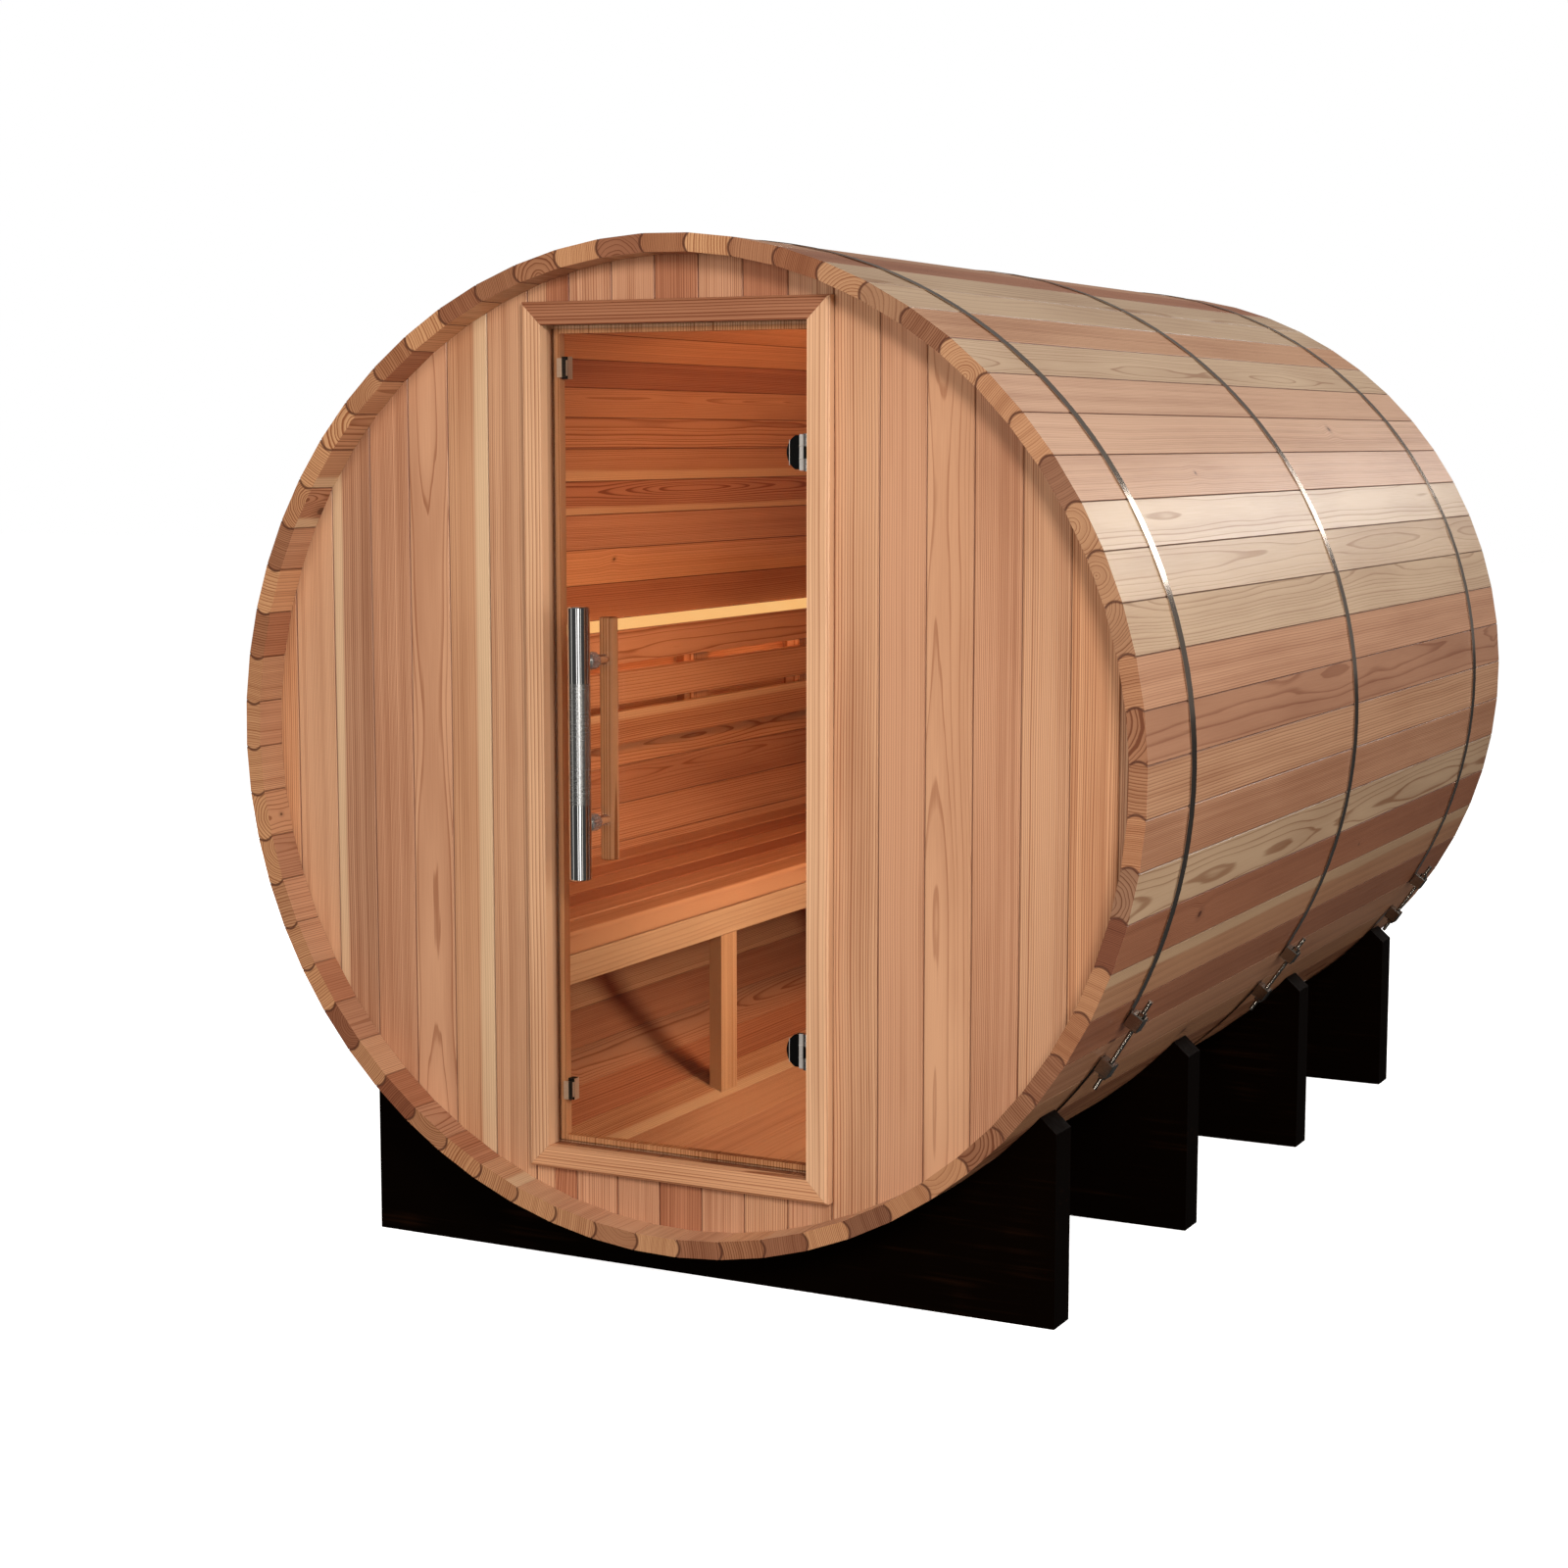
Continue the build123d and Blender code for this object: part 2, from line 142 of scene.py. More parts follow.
class Nodes:
    # the node tree of a material or of the world
    def __init__(self, tree):
        self.tree = tree

    def add(self, kind, settings=None, inputs=None, output=0):
        node = self.tree.nodes.new("ShaderNode" + kind)
        for name, value in (settings or {}).items():
            if name == "stops":
                self.setStops(node.color_ramp, value)
            elif name == "interpolation":
                node.color_ramp.interpolation = value
            else:
                setattr(node, name, value)
        for name, value in (inputs or {}).items():
            self.feed(node.inputs[name], value)
        return Wire(self, node.outputs[output])

    def feed(self, socket, value):
        if isinstance(value, Wire):
            self.tree.links.new(value.socket, socket)
        else:
            socket.default_value = value

    def setStops(self, ramp, stops):
        while len(ramp.elements) > 1:
            ramp.elements.remove(ramp.elements[-1])
        ramp.elements[0].position, ramp.elements[0].color = stops[0]
        for position, colour in stops[1:]:
            ramp.elements.new(position).color = colour

    def close(self, kind, wire):
        # the finished shader goes to the tree's output
        self.feed(self.tree.nodes[kind + " Output"].inputs["Surface"], wire)

    def split(self, vector):
        first = self.add("SeparateXYZ", None, {0: vector})
        return first, first.other(1), first.other(2)

    def place(self):
        return self.split(self.add("TexCoord", None, None, "Object"))

    def facing(self):
        return self.split(self.add("TexCoord", None, None, "Normal"))

    def join(self, x, y, z):
        return self.add("CombineXYZ", None, {0: x, 1: y, 2: z})

    def noise(self, x, y, z, detail=2.0):
        # about -0.5 to 0.5 round the points given
        inputs = {"Vector": self.join(x, y, z), "Scale": 1.0, "Detail": detail}
        return self.add("TexNoise", None, inputs) - 0.5

    def grit(self, place, pace, detail=2.0):
        # noise with a pace of its own along each axis
        return self.noise(*(axis * rate for axis, rate in zip(place, pace)), detail)

    def mix(self, factor, first, second, blend="MIX"):
        settings = {"data_type": "RGBA", "blend_type": blend}
        return self.add("Mix", settings, {0: factor, 6: first, 7: second}, 2)


class Finish(Nodes):
    # one material; its fixed sockets are given by their labels
    def __init__(self, name, fixed=None):
        self.material = bpy.data.materials.new(name)
        self.material.use_nodes = True
        super().__init__(self.material.node_tree)
        self.shader = self.tree.nodes["Principled BSDF"]
        for label, value in (fixed or {}).items():
            self.shader.inputs[label].default_value = value

    def show(self, label, value):
        self.feed(self.shader.inputs[label], value)

    def relief(self, height, strength, distance):
        inputs = {"Height": height, "Strength": strength, "Distance": distance}
        self.show("Normal", self.add("Bump", None, inputs))


def paint(finish, *names):
    for name in names:
        for slot in nodes[name].material_slots:
            slot.material = finish.material


# cedar boards

boardKinds = {
    # tan, orange tan, pink, pale pink, pale, pale trim, red brown and mid brown with straight grain; the
    # mid brown, used on the casing head alone, is painted shade from the rim above
    "t": {"tone": (206, 159, 123), "figure": 0.05, "sap": 0.0, "knots": 0.05, "lines": 1.0},
    "o": {"tone": (213, 160, 119), "figure": 0.10, "sap": 0.0, "knots": 0.02, "lines": 1.0},
    "k": {"tone": (201, 151, 117), "figure": 0.05, "sap": 0.0, "knots": 0.00, "lines": 1.0},
    "a": {"tone": (206, 164, 133), "figure": 0.08, "sap": 0.0, "knots": 0.10, "lines": 0.7},
    "l": {"tone": (212, 176, 138), "figure": 0.10, "sap": 0.0, "knots": 0.25, "lines": 0.9},
    "c": {"tone": (221, 176, 138), "figure": 0.06, "sap": 0.0, "knots": 0.00, "lines": 1.0},
    "r": {"tone": (178, 120, 88), "figure": 0.10, "sap": 0.0, "knots": 0.06, "lines": 1.0},
    "m": {"tone": (166, 113, 82), "figure": 0.08, "sap": 0.0, "knots": 0.02, "lines": 1.7},
    # tan, faintly and boldly figured, brown, pale and marbled with a flat sawn figure
    "f": {"tone": (204, 154, 119), "figure": 0.95, "sap": 0.0, "knots": 0.05, "lines": 0.9},
    "h": {"tone": (206, 157, 121), "figure": 0.90, "sap": 0.0, "knots": 0.00, "lines": 0.5},
    "g": {"tone": (204, 154, 117), "figure": 0.95, "sap": 0.0, "knots": 0.04, "lines": 1.6},
    "b": {"tone": (184, 134, 103), "figure": 0.95, "sap": 0.0, "knots": 0.08, "lines": 1.5},
    "p": {"tone": (203, 173, 141), "figure": 0.80, "sap": 0.0, "knots": 0.03, "lines": 0.8},
    "w": {"tone": (203, 172, 139), "figure": 1.00, "sap": 0.0, "knots": 0.10, "lines": 1.0},
    # tan, dark and flat sawn with sapwood along one edge
    "s": {"tone": (198, 149, 112), "figure": 0.05, "sap": 0.30, "knots": 0.04, "lines": 1.0},
    "d": {"tone": (182, 136, 105), "figure": 0.05, "sap": 0.24, "knots": 0.02, "lines": 1.0},
    "e": {"tone": (188, 134, 101), "figure": 0.90, "sap": 0.22, "knots": 0.05, "lines": 2.0},
}

cedarGrain = {
    "sapTone": (214, 180, 143),
    "knotTone": (84, 44, 27),
    "lateTint": (0.46, 0.30, 0.22, 1.0),  # summer wood against the board's own tone
    "endTone": (196, 146, 102),
    "endDeep": (122, 68, 42),
    "endShare": 0.80,  # how far cut ends go over to these two
    "ringWidth": 0.0026,
    "ringSpread": 0.0034,
    "lateStrength": 0.68,
    "bandStrength": 0.66,
    "blotch": 1.3,
    "knotSpacing": 0.55,
    "knotSize": 0.0022,
    "knotSpread": 0.0060,
    "roughness": 0.40,
    "coat": 0.10,
    "relief": 0.0004,
    "jointWidth": 0.0021,
    "jointShade": 0.86,
}

knotShape = {
    "boardStep": 17.3,  # sets the knots of one board apart from the next one's
    "reach": 1.5,
    "roundness": 0.5,  # under 1 makes knots long along the board
    "core": (0.7, 1.2),  # where it fades, times the knot's size
    "halo": (0.8, 3.5),
    "pullRange": 0.055,  # the grain parts round a knot this far off
    "pull": 1.8,
}

ringShape = {
    # the pith lies off to one side for straight grain and under the board for a flat sawn figure
    "aside": 0.13,
    "asideSpread": 0.15,
    "offMiddle": 0.04,
    "under": 0.040,
    "underSpread": 0.045,
    # it wanders along the board
    "swayPace": 1.1,
    "sway": 0.016,
    "swellPace": 0.8,
    "swell": 0.006,
    "swellFlat": 0.075,
    # the rings waver and are not all as wide
    "wobblePace": 38,
    "wobbleAlong": 2.6,
    "wobble": 0.0018,
    "wobbleFlat": 0.005,
    "widen": 0.7,
    "unevenPace": 70,
    "uneven": 2.2,
    # each year darkens slowly and ends in a thin line, wider on boldly marked boards
    "slow": (0.20, 0.90),
    "slowShare": 0.38,
    "slowFlat": 0.26,
    "lineStart": 0.88,
    "lineWiden": 0.36,
    "lineFull": 0.90,
    "lineShare": 0.66,
    "lineEnd": 0.94,
}

cedarShade = {
    "tagStep": 3.7,
    "secondDraw": 31.4,
    "bandPace": 95,
    "bandAlong": 0.25,
    "bandFlat": 0.7,
    "bands": 1.5,
    "blotchPace": 9,
    "blotchAlong": 1.6,
    "fibrePace": 520,
    "fibreAlong": 9,
    "fibreDetail": 3.0,
    "fibre": 0.45,
    "lift": 0.18,
    "endFacing": (0.6, 0.8),
    "endDraw": (0.25, 1.0),
    "lateLeast": 1.2,
    "lateSpread": 1.6,
    "lateEnds": 0.9,
    "sapSway": 0.02,
    "sapWobble": 0.004,
    "sapFade": (0.005, 0.004),  # to either side of the sapwood's edge
    "sapLeast": 0.01,
    "sapLate": 0.30,
    "sapShade": 0.55,
    "knotCore": 0.6,
    "knotHalo": 0.3,
    "jointCore": 0.2,
    "lateRough": 0.10,
    "fibreRough": 0.16,
    "endRough": 0.18,
    "fibreRise": 0.7,
    "bump": 0.45,
}


def boardRamp(finish, pick, colours):
    count = len(colours)
    stops = [(number / count, colour) for number, colour in enumerate(colours)]
    settings = {"interpolation": "CONSTANT", "stops": stops}
    return finish.add("ValToRGB", settings, {"Fac": (pick + 0.5) / count})


def threeDraws(finish, pick):
    draw = finish.add("TexWhiteNoise", {"noise_dimensions": "1D"}, {"W": pick}, "Color")
    return finish.split(draw)


def knots(finish, grain, wood, share):
    # a knot now and then, with the grain parting round it
    look = knotShape
    line = wood["along"] / grain["knotSpacing"] + wood["board"] * look["boardStep"] + wood["seed"]
    cell = finish.add("TexVoronoi", {"voronoi_dimensions": "1D"}, {"W": line, "Scale": 1.0}, "Color")
    drawA, drawB, drawC = finish.split(cell)
    offAlong = (line - cell.other("W")) * grain["knotSpacing"]
    offAcross = wood["across"] - (drawA - 0.5) * look["reach"] * wood["halfWidth"]
    away = (offAcross * offAcross + offAlong * offAlong * look["roundness"]) ** 0.5
    size = grain["knotSize"] + drawB * drawB * grain["knotSpread"]
    present = drawC < share
    fades = (look["core"], look["halo"])
    core, halo = (present * (1 - away.ease(size * near, size * far)) for near, far in fades)
    pull = present * (1 - away.ease(0.0, look["pullRange"])) * size * look["pull"]
    return core, halo, pull


def growthRings(finish, grain, wood, flat, halfLines, draws, pull):
    # solid rings about a pith line; numbers added to the tag keep one noise from repeating another
    look = ringShape
    drawA, drawB, drawC, drawD = draws
    across, depth, along, tag = (wood[key] for key in ("across", "depth", "along", "tag"))
    sway = finish.noise(along * look["swayPace"], tag, 0.0)
    swell = finish.noise(along * look["swellPace"], tag + 40.0, 5.0)
    side = (drawC > 0.5) * 2 - 1
    aside = side * (1 - flat) * (look["aside"] + look["asideSpread"] * drawB)
    under = flat * (look["under"] + look["underSpread"] * drawB)
    pithAcross = aside + flat * (drawA - 0.5) * look["offMiddle"] + sway * look["sway"]
    pithDepth = under + swell * (look["swell"] + flat * look["swellFlat"])
    offPith = across - pithAcross
    underPith = depth - pithDepth
    pace = look["wobblePace"]
    wobble = finish.noise(across * pace, depth * pace + tag, along * look["wobbleAlong"])
    waver = wobble * (look["wobble"] + flat * look["wobbleFlat"])
    reach = (offPith * offPith + underPith * underPith) ** 0.5 + pull + waver
    ringWidth = (grain["ringWidth"] + grain["ringSpread"] * drawD) * (1 + look["widen"] * flat)
    rings = reach / ringWidth + finish.noise(reach * look["unevenPace"], tag, 9.0) * look["uneven"]
    year = rings.fraction()
    slow = year.ease(*look["slow"]) * (look["slowShare"] - look["slowFlat"] * flat)
    line = year.ease(look["lineStart"] - look["lineWiden"] * halfLines, look["lineFull"])
    late = (slow + line * look["lineShare"]) * (1 - year.ease(look["lineEnd"], 1.0))
    return {"late": late, "reach": reach, "sway": sway, "wobble": wobble, "side": side}


def cedar(finish, grain, wood, kinds, toJoint=None, hoopShade=0.0):
    # wood holds where a point lies in its board, which board that is, and the board's measures
    look = cedarShade
    board, along, across = wood["board"], wood["along"], wood["across"]
    chosen = [boardKinds[letter] for letter in kinds]
    tone = boardRamp(finish, board, [(*screen(*kind["tone"])[:3], kind["figure"]) for kind in chosen])
    habits = [(kind["sap"], kind["knots"], kind["lines"] / 2, 1.0) for kind in chosen]
    flat = tone.other("Alpha")
    sapShare, knotShare, halfLines = finish.split(boardRamp(finish, board, habits))
    tag = board * look["tagStep"] + wood["seed"]
    drawA, drawB, drawC = threeDraws(finish, board + wood["seed"])
    drawD, drawE, drawF = threeDraws(finish, tag + look["secondDraw"])
    knotCore, knotHalo, pull = knots(finish, grain, wood, knotShare)
    draws = (drawA, drawB, drawC, drawD)
    rings = growthRings(finish, grain, {**wood, "tag": tag}, flat, halfLines, draws, pull)
    late = rings["late"]
    bands = finish.noise(rings["reach"] * look["bandPace"], tag + 7.0, along * look["bandAlong"])
    bands = bands * (1 - look["bandFlat"] * flat)
    blotch = finish.noise(across * look["blotchPace"], tag + 3.0, along * look["blotchAlong"])
    fine, fineAlong = look["fibrePace"], along * look["fibreAlong"]
    fibre = finish.noise(across * fine, wood["depth"] * fine, fineAlong, look["fibreDetail"])

    endMask = abs(wood["endFace"]).ease(*look["endFacing"])
    cutEnd = finish.mix(drawF.ease(*look["endDraw"]), screen(*grain["endTone"]), screen(*grain["endDeep"]))
    tone = finish.mix(endMask * grain["endShare"], tone, cutEnd)
    deep = finish.mix(1.0, tone, grain["lateTint"], "MULTIPLY")
    marked = late * halfLines * grain["lateStrength"] * (look["lateLeast"] + look["lateSpread"] * drawE)
    lateShare = marked * (1 + look["lateEnds"] * endMask)
    uneven = bands * look["bands"] + blotch * grain["blotch"] + fibre * look["fibre"] + look["lift"]
    shade = uneven.atLeast(0.0) * grain["bandStrength"]
    colour = finish.mix((lateShare + shade).atMost(1.0), tone, deep)

    # sapwood along one edge
    before, after = look["sapFade"]
    edge = across * rings["side"] * -1 + rings["sway"] * look["sapSway"]
    edge = edge + rings["wobble"] * look["sapWobble"]
    sapStart = wood["halfWidth"] * (1 - 2 * sapShare)
    sapMask = edge.ease(sapStart - before, sapStart + after) * (sapShare > look["sapLeast"])
    sapwood = finish.mix(late * look["sapLate"] + shade * look["sapShade"], screen(*grain["sapTone"]), deep)
    colour = finish.mix(sapMask * (1 - endMask), colour, sapwood)
    knotDark = knotCore * look["knotCore"] + knotHalo * look["knotHalo"]
    colour = finish.mix(knotDark, colour, screen(*grain["knotTone"]))
    if toJoint:
        jointWidth = grain["jointWidth"] * (1 + endMask)
        joint = 1 - toJoint.ease(jointWidth * look["jointCore"], jointWidth)
        # the hoop term adds painted shade beside the hoops
        dark = (joint * grain["jointShade"] + hoopShade).atMost(1.0)
        colour = finish.mix(dark, colour, screen(*grain["knotTone"]))

    rough = grain["roughness"] + late * look["lateRough"] + fibre * look["fibreRough"]
    finish.show("Base Color", colour)
    finish.show("Roughness", rough + endMask * look["endRough"])
    finish.show("Coat Weight", (1 - endMask) * grain["coat"])
    finish.relief(fibre * look["fibreRise"], look["bump"], grain["relief"])


cedarFixed = {"IOR": 1.45, "Coat Roughness": 0.22}
boardSeeds = {  # the first number and the step from piece to piece
    "staves": (11.0, 8.31),
    "walls": (101.0, 9.17),
    "trim": (211.0, 7.93),
}


def cedarFinish(name):
    return Finish("cedar" + name.title().replace("_", ""), cedarFixed)


def boardSeed(kind, number):
    first, step = boardSeeds[kind]
    return first + step * number


# barrel staves

staveLooks = {
    "right": "rwktbkpp",
    "upper_right": "paaaptpp",
    "top": "rktrfkbt",
    "upper_left": "oorggsek",
    "left": "ortktgbk",
    # partly painted shade: the staves under the bench are picked darker and redder to stand for the bench's
    # shadow
    "lower_left": "krbtrbrs",
    "bottom": "tkftkotk",
    "lower_right": "tkfbtkrs",
}
shadedGroups = ("upper_right", "right", "lower_right")
shadedEnds = {"endTone": (180, 130, 90), "endDeep": (102, 54, 33)}
hoopGapShade = {  # painted shade in the gap under each hoop, at each stave joint, in the outer face alone
    "beside": 0.0015,
    "reach": 0.0060,
    "jointCore": 0.0022,
    "alongJoint": 0.0055,
    "depth": 0.010,
    "shade": 0.75,
}


# painted shade: darkens the wood along each hoop near every stave joint
def besideHoops(y, toJoint, look):
    nearest = 0.0
    for name in ("hoop_front", "hoop_middle", "hoop_rear"):
        low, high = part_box(name)
        fromHoop = abs(y - (low.y + high.y) / 2) - (high.y - low.y) / 2
        nearest = nearest + (1 - fromHoop.ease(look["beside"], look["reach"]))
    return nearest * (1 - toJoint.ease(look["jointCore"], look["alongJoint"])) * look["shade"]


def paintStaves(grain):
    perGroup = barrel["perGroup"]
    halfThick = barrel["staveThickness"] / 2
    for number, group in enumerate(barrel["groups"]):
        finish = cedarFinish("staves_" + group)
        x, y, z = finish.place()
        up = z - axisHeight
        radius = (x * x + up * up) ** 0.5
        turn = up.sum("ARCTAN2", up, x)
        # the bead of each stave reaches past its own sector into the next one
        fromMiddle = (radius - (barrelRadius - halfThick)) / halfThick
        bead = (1 - fromMiddle * fromMiddle).atLeast(0.0) * barrel["beadRise"] / radius
        start = barrel["firstJoint"] + (number * perGroup - perGroup / 2) * stavePitch
        margin = perGroup / 2 * stavePitch
        swept = (turn - bead - start + margin) % (2 * math.pi) - margin
        count = swept / stavePitch
        board = count.floor().atLeast(0.0).atMost(perGroup - 1.0)
        depth = barrelRadius - radius
        toJoint = (0.5 - abs(count.fraction() - 0.5)) * staveWidth
        _, endFace, _ = finish.facing()
        wood = {
            "across": (swept + bead - (board + 0.5) * stavePitch) * radius,
            "depth": depth,
            "along": y,
            "board": board,
            "seed": boardSeed("staves", number),
            "halfWidth": staveWidth / 2,
            "endFace": endFace,
        }
        # painted shade where the hoops cross the stave joints
        hoopShade = besideHoops(y, toJoint, hoopGapShade) * (depth < hoopGapShade["depth"])
        ends = shadedEnds if group in shadedGroups else {}
        cedar(finish, {**grain, **ends}, wood, staveLooks[group], toJoint, hoopShade)
        paint(finish, "staves_" + group)


paintStaves(cedarGrain)
print("staves finished")

# end walls

wallLooks = {
    "front_wall_left": {"first": -10, "kinds": "otdkfstt"},
    "front_wall_right": {"first": 3, "kinds": "ttkhktot"},
    # partly painted shade: the boards over the door are picked among the darker red brown tones to stand
    # for the rim's shadow there
    "front_wall_over_door": {"first": -3, "kinds": "rkkrkrk"},
    "front_wall_under_door": {"first": -3, "kinds": "rkkrktk"},
    "rear_wall": {"first": -10, "kinds": "tkftskotkbtkftotskekt"},
}
wallGrain = {
    "lateStrength": 0.90,
    "bandStrength": 0.90,
    "blotch": 1.0,
    "jointWidth": 0.0018,
    "jointShade": 0.60,
    "endTone": (170, 108, 70),  # cut ends show over and under the door alone
    "endDeep": (150, 92, 58),
    "endShare": 1.0,
    "coat": 0.05,
    "knotSpacing": 2.5,
}


def paintWalls(grain):
    width = barrel["boardWidth"]
    for number, (name, look) in enumerate(wallLooks.items()):
        finish = cedarFinish(name)
        x, y, z = finish.place()
        count = len(look["kinds"])
        column = (x / width + 0.5).floor()
        board = (column - look["first"]).atLeast(0.0).atMost(count - 1.0)
        across = x - (board + look["first"]) * width
        _, _, endFace = finish.facing()
        wood = {
            "across": across,
            "depth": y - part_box(name)[0].y,
            "along": z,
            "board": board,
            "seed": boardSeed("walls", number),
            "halfWidth": width / 2,
            "endFace": endFace,
        }
        cedar(finish, grain, wood, look["kinds"], width / 2 - abs(across))
        paint(finish, name)


paintWalls({**cedarGrain, **wallGrain})
print("walls finished")

# door casing, bench, backrest and pull: plain boards

trimGrain = {"ringWidth": 0.0040, "lateStrength": 0.95}
trimLooks = {
    "door_casing_left": {"along": "z", "across": "x", "depth": "y", "stack": "x", "kinds": "c"},
    "door_casing_right": {"along": "z", "across": "x", "depth": "y", "stack": "x", "kinds": "c"},
    # painted shade: the head takes the darker mid brown to stand for the rim's shadow on it
    "door_casing_head": {"along": "x", "across": "z", "depth": "y", "stack": "z", "kinds": "m"},
    "door_casing_sill": {"along": "x", "across": "z", "depth": "y", "stack": "z", "kinds": "o"},
    "door_stops": {"along": "z", "across": "x", "depth": "y", "stack": "x", "kinds": "cc"},
    "door_pull": {"along": "z", "across": "x", "depth": "y", "stack": "x", "kinds": "c"},
    "bench_seat_slats": {"along": "y", "across": "x", "depth": "z", "stack": "x", "kinds": "krkrkt"},
    "bench_front_rail": {"along": "y", "across": "z", "depth": "x", "stack": "z", "kinds": "p"},
    "bench_legs": {"along": "z", "across": "y", "depth": "x", "stack": "y", "kinds": "ll"},
    "bench_bearers": {"along": "x", "across": "z", "depth": "y", "stack": "y", "kinds": "tktkt"},
    "backrest_slats": {"along": "y", "across": "z", "depth": "x", "stack": "z", "kinds": "stf"},
    "backrest_battens": {"along": "z", "across": "y", "depth": "x", "stack": "y", "kinds": "tktk"},
}


def paintTrim(grain):
    for number, (name, look) in enumerate(trimLooks.items()):
        finish = cedarFinish(name)
        low, high = (dict(zip("xyz", corner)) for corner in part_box(name))
        place = dict(zip("xyz", finish.place()))
        facing = dict(zip("xyz", finish.facing()))
        count = len(look["kinds"])
        stack, side = look["stack"], look["across"]
        pitch = (high[stack] - low[stack]) / count
        board = ((place[stack] - low[stack]) / pitch).floor().atLeast(0.0).atMost(count - 1.0)
        if side == stack:
            across = place[stack] - low[stack] - (board + 0.5) * pitch
            halfWidth = pitch / 2
        else:
            across = place[side] - (low[side] + high[side]) / 2
            halfWidth = (high[side] - low[side]) / 2
        wood = {
            "across": across,
            "depth": place[look["depth"]] - low[look["depth"]],
            "along": place[look["along"]],
            "board": board,
            "seed": boardSeed("trim", number),
            "halfWidth": halfWidth,
            "endFace": facing[look["along"]],
        }
        cedar(finish, grain, wood, look["kinds"])
        paint(finish, name)


paintTrim({**cedarGrain, **trimGrain})
print("casing, bench and backrest finished")

# cradles

cradleLook = {
    "dark": (4, 2, 1),
    "worn": (28, 14, 6),
    "gloss": 0.06,
    "glossTone": (222, 146, 92),
    "streakPace": (3, 90, 90),
    "streakDetail": 4.0,
    "streaks": 0.9,
    "patchPace": (6, 6, 6),
    "patches": 0.7,
    "wornRange": (0.05, 0.45),
    "roughness": 0.60,
    "roughSpread": 0.2,
    "bump": 0.5,
    "relief": 0.0006,
}


def paintCradles(look):
    sheen = {"Specular IOR Level": look["gloss"], "Specular Tint": screen(*look["glossTone"])}
    finish = Finish("darkTimber", sheen)
    place = finish.place()
    streak = finish.grit(place, look["streakPace"], look["streakDetail"])
    patch = finish.grit(place, look["patchPace"])
    worn = (streak * look["streaks"] + patch * look["patches"]).ease(*look["wornRange"])
    finish.show("Base Color", finish.mix(worn, screen(*look["dark"]), screen(*look["worn"])))
    finish.show("Roughness", look["roughness"] + streak * look["roughSpread"])
    finish.relief(streak, look["bump"], look["relief"])
    paint(finish, "cradle_front", "cradle_front_middle", "cradle_rear_middle", "cradle_rear")


paintCradles(cradleLook)

# hoops and tensioners

hoopLook = {
    "tone": (190, 170, 152),
    "dull": (136, 112, 92),
    "drawnPace": (4, 900, 4),
    "drawnDetail": 3.0,
    "smudgePace": (14, 14, 14),
    "dullRange": (-0.1, 0.4),
    "dullShare": 0.35,
    "roughness": 0.18,
    "drawnRough": 0.10,
    "smudgeRough": 0.12,
    "bump": 0.15,
    "relief": 0.0002,
}
tensionerLook = {
    "tone": (172, 164, 154),
    # painted shade for the thread's grooves
    "groove": (74, 66, 58),
    "angles": {"front": -31.7, "middle": -35.2, "rear": -34.2},
    "rodRise": 0.0191,  # the rod's line stands off the staves
    "rodRadius": 0.0042,
    "threadPitch": 0.00125,
    "gritPace": (700, 60, 60),
    "gritDetail": 3.0,
    "threadShade": 0.4,
    "gritDark": 0.3,
    "leastDark": 0.1,
    "roughness": 0.16,
    "gritRough": 0.18,
    "gritRise": 0.15,
    "bump": 0.6,
    "relief": 0.0004,
}


def paintHoops(look):
    finish = Finish("hoopSteel", {"Metallic": 1.0})
    place = finish.place()
    drawn = finish.grit(place, look["drawnPace"], look["drawnDetail"])
    smudge = finish.grit(place, look["smudgePace"])
    dull = smudge.ease(*look["dullRange"]) * look["dullShare"]
    rough = look["roughness"] + drawn * look["drawnRough"] + smudge * look["smudgeRough"]
    finish.show("Base Color", finish.mix(dull, screen(*look["tone"]), screen(*look["dull"])))
    finish.show("Roughness", rough)
    finish.relief(drawn, look["bump"], look["relief"])
    paint(finish, "hoop_front", "hoop_middle", "hoop_rear")


def paintTensioners(look):
    for name, degrees in look["angles"].items():
        finish = Finish("tensionerSteel" + name.title(), {"Metallic": 1.0})
        low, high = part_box("hoop_" + name)
        angle = math.radians(degrees)
        x, y, z = finish.place()
        up = z - axisHeight
        outward = x * math.cos(angle) + up * math.sin(angle)
        alongRod = up * math.cos(angle) - x * math.sin(angle)
        fromMiddle = y - (low.y + high.y) / 2
        grit = finish.grit((alongRod, outward, fromMiddle), look["gritPace"], look["gritDetail"])
        thread = alongRod.sum("SINE", alongRod * (2 * math.pi / look["threadPitch"]))
        offLine = outward - barrelRadius - look["rodRise"]
        onRod = (offLine * offLine + fromMiddle * fromMiddle) ** 0.5 < look["rodRadius"]
        # painted shade darkens the thread's grooves; the grit is random tone
        inThread = onRod * (thread * 0.5 + 0.5)
        dark = inThread * look["threadShade"] + grit * look["gritDark"] + look["leastDark"]
        finish.show("Base Color", finish.mix(dark, screen(*look["tone"]), screen(*look["groove"])))
        finish.show("Roughness", look["roughness"] + grit * look["gritRough"])
        finish.relief(onRod * thread + grit * look["gritRise"], look["bump"], look["relief"])
        paint(finish, "tensioner_" + name)


paintHoops(hoopLook)
paintTensioners(tensionerLook)
print("cradles, hoops and tensioners finished")

# door glass and its metalwork

glassLook = {
    "tint": (251, 244, 236),
    "edge": (70, 42, 26),
    "edgePale": (96, 60, 38),
    "edgeFacing": 0.5,  # faces that look less than this along y are edges
    "edgeRoughness": 0.12,
    "filmPace": (5, 0, 5),
    "filmDetail": 3.0,
    "ior": 1.5,
    "sheen": 0.02,
    "gloss": 0.5,
}


